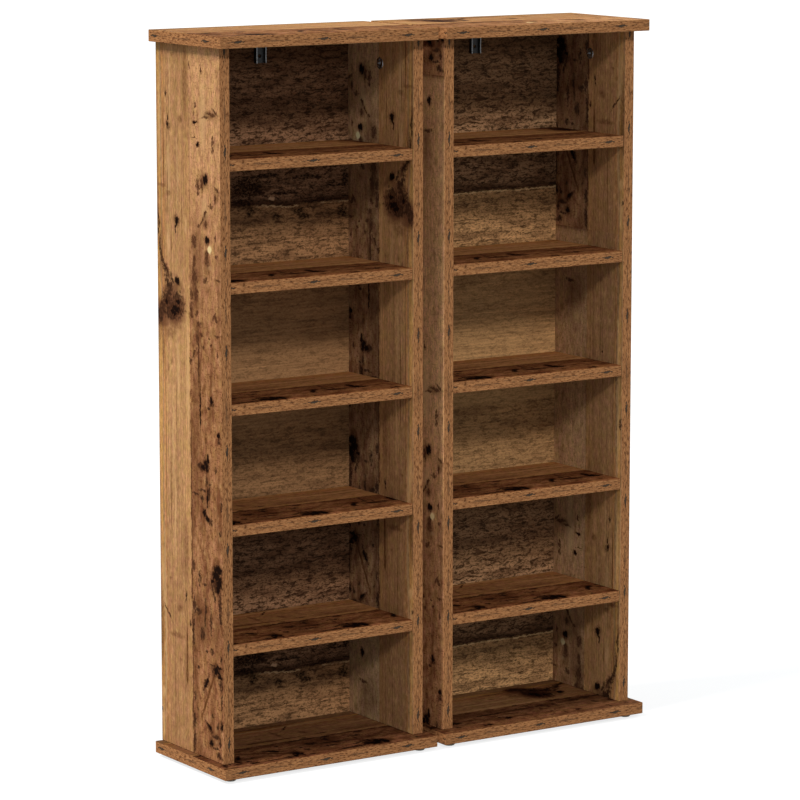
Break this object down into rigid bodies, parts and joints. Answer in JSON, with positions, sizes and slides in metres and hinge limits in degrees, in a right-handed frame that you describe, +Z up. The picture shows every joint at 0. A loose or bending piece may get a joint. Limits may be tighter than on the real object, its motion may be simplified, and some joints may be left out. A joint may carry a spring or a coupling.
{
  "type": "disc storage tower",
  "caption": "Open storage tower for CDs and DVDs beside its twin: fixed shelves between side panels, wider base and top boards, a thin back, low glides and a wall bracket.",
  "frame": {"origin": "on the floor, under the middle of the pair of towers", "axes": "+Z up, +Y from the open front to the back, +X from the left tower to the right tower"},
  "size_m": [0.652, 0.176, 0.935],
  "materials": {
    "board_decor": "old-wood printed decor, satin, orange brown with dark knots and cracks, banded edges",
    "side_decor": "old-wood printed decor of upright planks, satin",
    "shelf_decor": "old-wood printed decor, darker brown, banded front edge",
    "back_decor": "old-wood printed decor of level planks on thin fibreboard, dark brown",
    "glide_plastic": "matt grey-brown moulded plastic",
    "dowel_beech": "plain beech",
    "bracket_paint": "dark grey coated steel",
    "screw_steel": "zinc-plated steel",
    "cam_zinc": "die-cast zinc"
  },
  "bodies": {
    "root": {"left_tower_base_board": "board_decor", "left_tower_top_board": "board_decor", "left_tower_back_panel": "back_decor", "left_tower_shelf_1": "shelf_decor", "left_tower_shelf_2": "shelf_decor", "left_tower_shelf_3": "shelf_decor", "left_tower_shelf_4": "shelf_decor", "left_tower_shelf_5": "shelf_decor", "left_tower_left_side": "side_decor", "left_tower_cam_bolt_left": "screw_steel", "left_tower_cam_lock_left": "cam_zinc", "left_tower_base_screw_left_front": "screw_steel", "left_tower_top_dowel_left_front": "dowel_beech", "left_tower_glide_left_front": "glide_plastic", "left_tower_base_screw_left_rear": "screw_steel", "left_tower_top_dowel_left_rear": "dowel_beech", "left_tower_glide_left_rear": "glide_plastic", "left_tower_right_side": "side_decor", "left_tower_cam_bolt_right": "screw_steel", "left_tower_cam_lock_right": "cam_zinc", "left_tower_base_screw_right_front": "screw_steel", "left_tower_top_dowel_right_front": "dowel_beech", "left_tower_glide_right_front": "glide_plastic", "left_tower_base_screw_right_rear": "screw_steel", "left_tower_top_dowel_right_rear": "dowel_beech", "left_tower_glide_right_rear": "glide_plastic", "left_tower_wall_bracket": "bracket_paint", "left_tower_bracket_screw": "screw_steel", "right_tower_base_board": "board_decor", "right_tower_top_board": "board_decor", "right_tower_back_panel": "back_decor", "right_tower_shelf_1": "shelf_decor", "right_tower_shelf_2": "shelf_decor", "right_tower_shelf_3": "shelf_decor", "right_tower_shelf_4": "shelf_decor", "right_tower_shelf_5": "shelf_decor", "right_tower_left_side": "side_decor", "right_tower_cam_bolt_left": "screw_steel", "right_tower_cam_lock_left": "cam_zinc", "right_tower_base_screw_left_front": "screw_steel", "right_tower_top_dowel_left_front": "dowel_beech", "right_tower_glide_left_front": "glide_plastic", "right_tower_base_screw_left_rear": "screw_steel", "right_tower_top_dowel_left_rear": "dowel_beech", "right_tower_glide_left_rear": "glide_plastic", "right_tower_right_side": "side_decor", "right_tower_cam_bolt_right": "screw_steel", "right_tower_cam_lock_right": "cam_zinc", "right_tower_base_screw_right_front": "screw_steel", "right_tower_top_dowel_right_front": "dowel_beech", "right_tower_glide_right_front": "glide_plastic", "right_tower_base_screw_right_rear": "screw_steel", "right_tower_top_dowel_right_rear": "dowel_beech", "right_tower_glide_right_rear": "glide_plastic", "right_tower_wall_bracket": "bracket_paint", "right_tower_bracket_screw": "screw_steel"}
  },
  "joints": []
}
